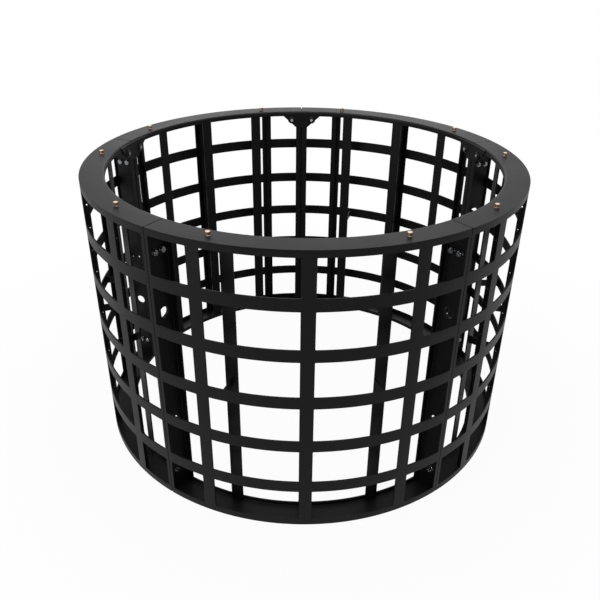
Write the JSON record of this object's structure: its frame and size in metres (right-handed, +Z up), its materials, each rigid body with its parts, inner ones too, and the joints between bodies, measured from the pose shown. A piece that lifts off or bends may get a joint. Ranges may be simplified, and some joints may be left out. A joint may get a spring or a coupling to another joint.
{
  "type": "firewood log rack",
  "caption": "Round open-topped firewood rack: curved black sheet-steel lattice panels bolted together at upright seams, with flat rings, inner posts and studs on top.",
  "frame": {"origin": "on the axis of the ring, at floor level", "axes": "+Z up along the axis of the ring; -Y through the middle of panel 1, the front"},
  "size_m": [0.94, 0.94, 0.6075],
  "materials": {
    "black_powder_coat": "satin black powder coat with a fine texture",
    "black_fasteners": "black oxide, slightly glossy",
    "zinc_fasteners": "bright zinc plate",
    "copper_studs": "thin copper flash on steel"
  },
  "bodies": {
    "root": {"lattice_panel_1": "black_powder_coat", "lattice_panel_2": "black_powder_coat", "lattice_panel_3": "black_powder_coat", "lattice_panel_4": "black_powder_coat", "lattice_panel_5": "black_powder_coat", "top_ring_1": "black_powder_coat", "top_ring_2": "black_powder_coat", "top_ring_3": "black_powder_coat", "top_ring_4": "black_powder_coat", "top_ring_5": "black_powder_coat", "base_ring_1": "black_powder_coat", "base_ring_2": "black_powder_coat", "base_ring_3": "black_powder_coat", "base_ring_4": "black_powder_coat", "base_ring_5": "black_powder_coat", "end_channel_left_1": "black_powder_coat", "end_channel_left_2": "black_powder_coat", "end_channel_left_3": "black_powder_coat", "end_channel_left_4": "black_powder_coat", "end_channel_left_5": "black_powder_coat", "end_channel_right_1": "black_powder_coat", "end_channel_right_2": "black_powder_coat", "end_channel_right_3": "black_powder_coat", "end_channel_right_4": "black_powder_coat", "end_channel_right_5": "black_powder_coat", "post_left_1": "black_powder_coat", "post_left_2": "black_powder_coat", "post_left_3": "black_powder_coat", "post_left_4": "black_powder_coat", "post_left_5": "black_powder_coat", "post_centre_1": "black_powder_coat", "post_centre_2": "black_powder_coat", "post_centre_3": "black_powder_coat", "post_centre_4": "black_powder_coat", "post_centre_5": "black_powder_coat", "post_right_1": "black_powder_coat", "post_right_2": "black_powder_coat", "post_right_3": "black_powder_coat", "post_right_4": "black_powder_coat", "post_right_5": "black_powder_coat", "post_spacers_1": "black_powder_coat", "post_spacers_2": "black_powder_coat", "post_spacers_3": "black_powder_coat", "post_spacers_4": "black_powder_coat", "post_spacers_5": "black_powder_coat", "splice_plate_1": "black_powder_coat", "splice_plate_2": "black_powder_coat", "splice_plate_3": "black_powder_coat", "splice_plate_4": "black_powder_coat", "splice_plate_5": "black_powder_coat", "bar_ribs": "black_powder_coat", "seam_bolts": "zinc_fasteners", "seam_nuts": "zinc_fasteners", "splice_screws": "black_fasteners", "splice_nuts": "black_fasteners", "top_studs": "copper_studs"}
  },
  "joints": []
}
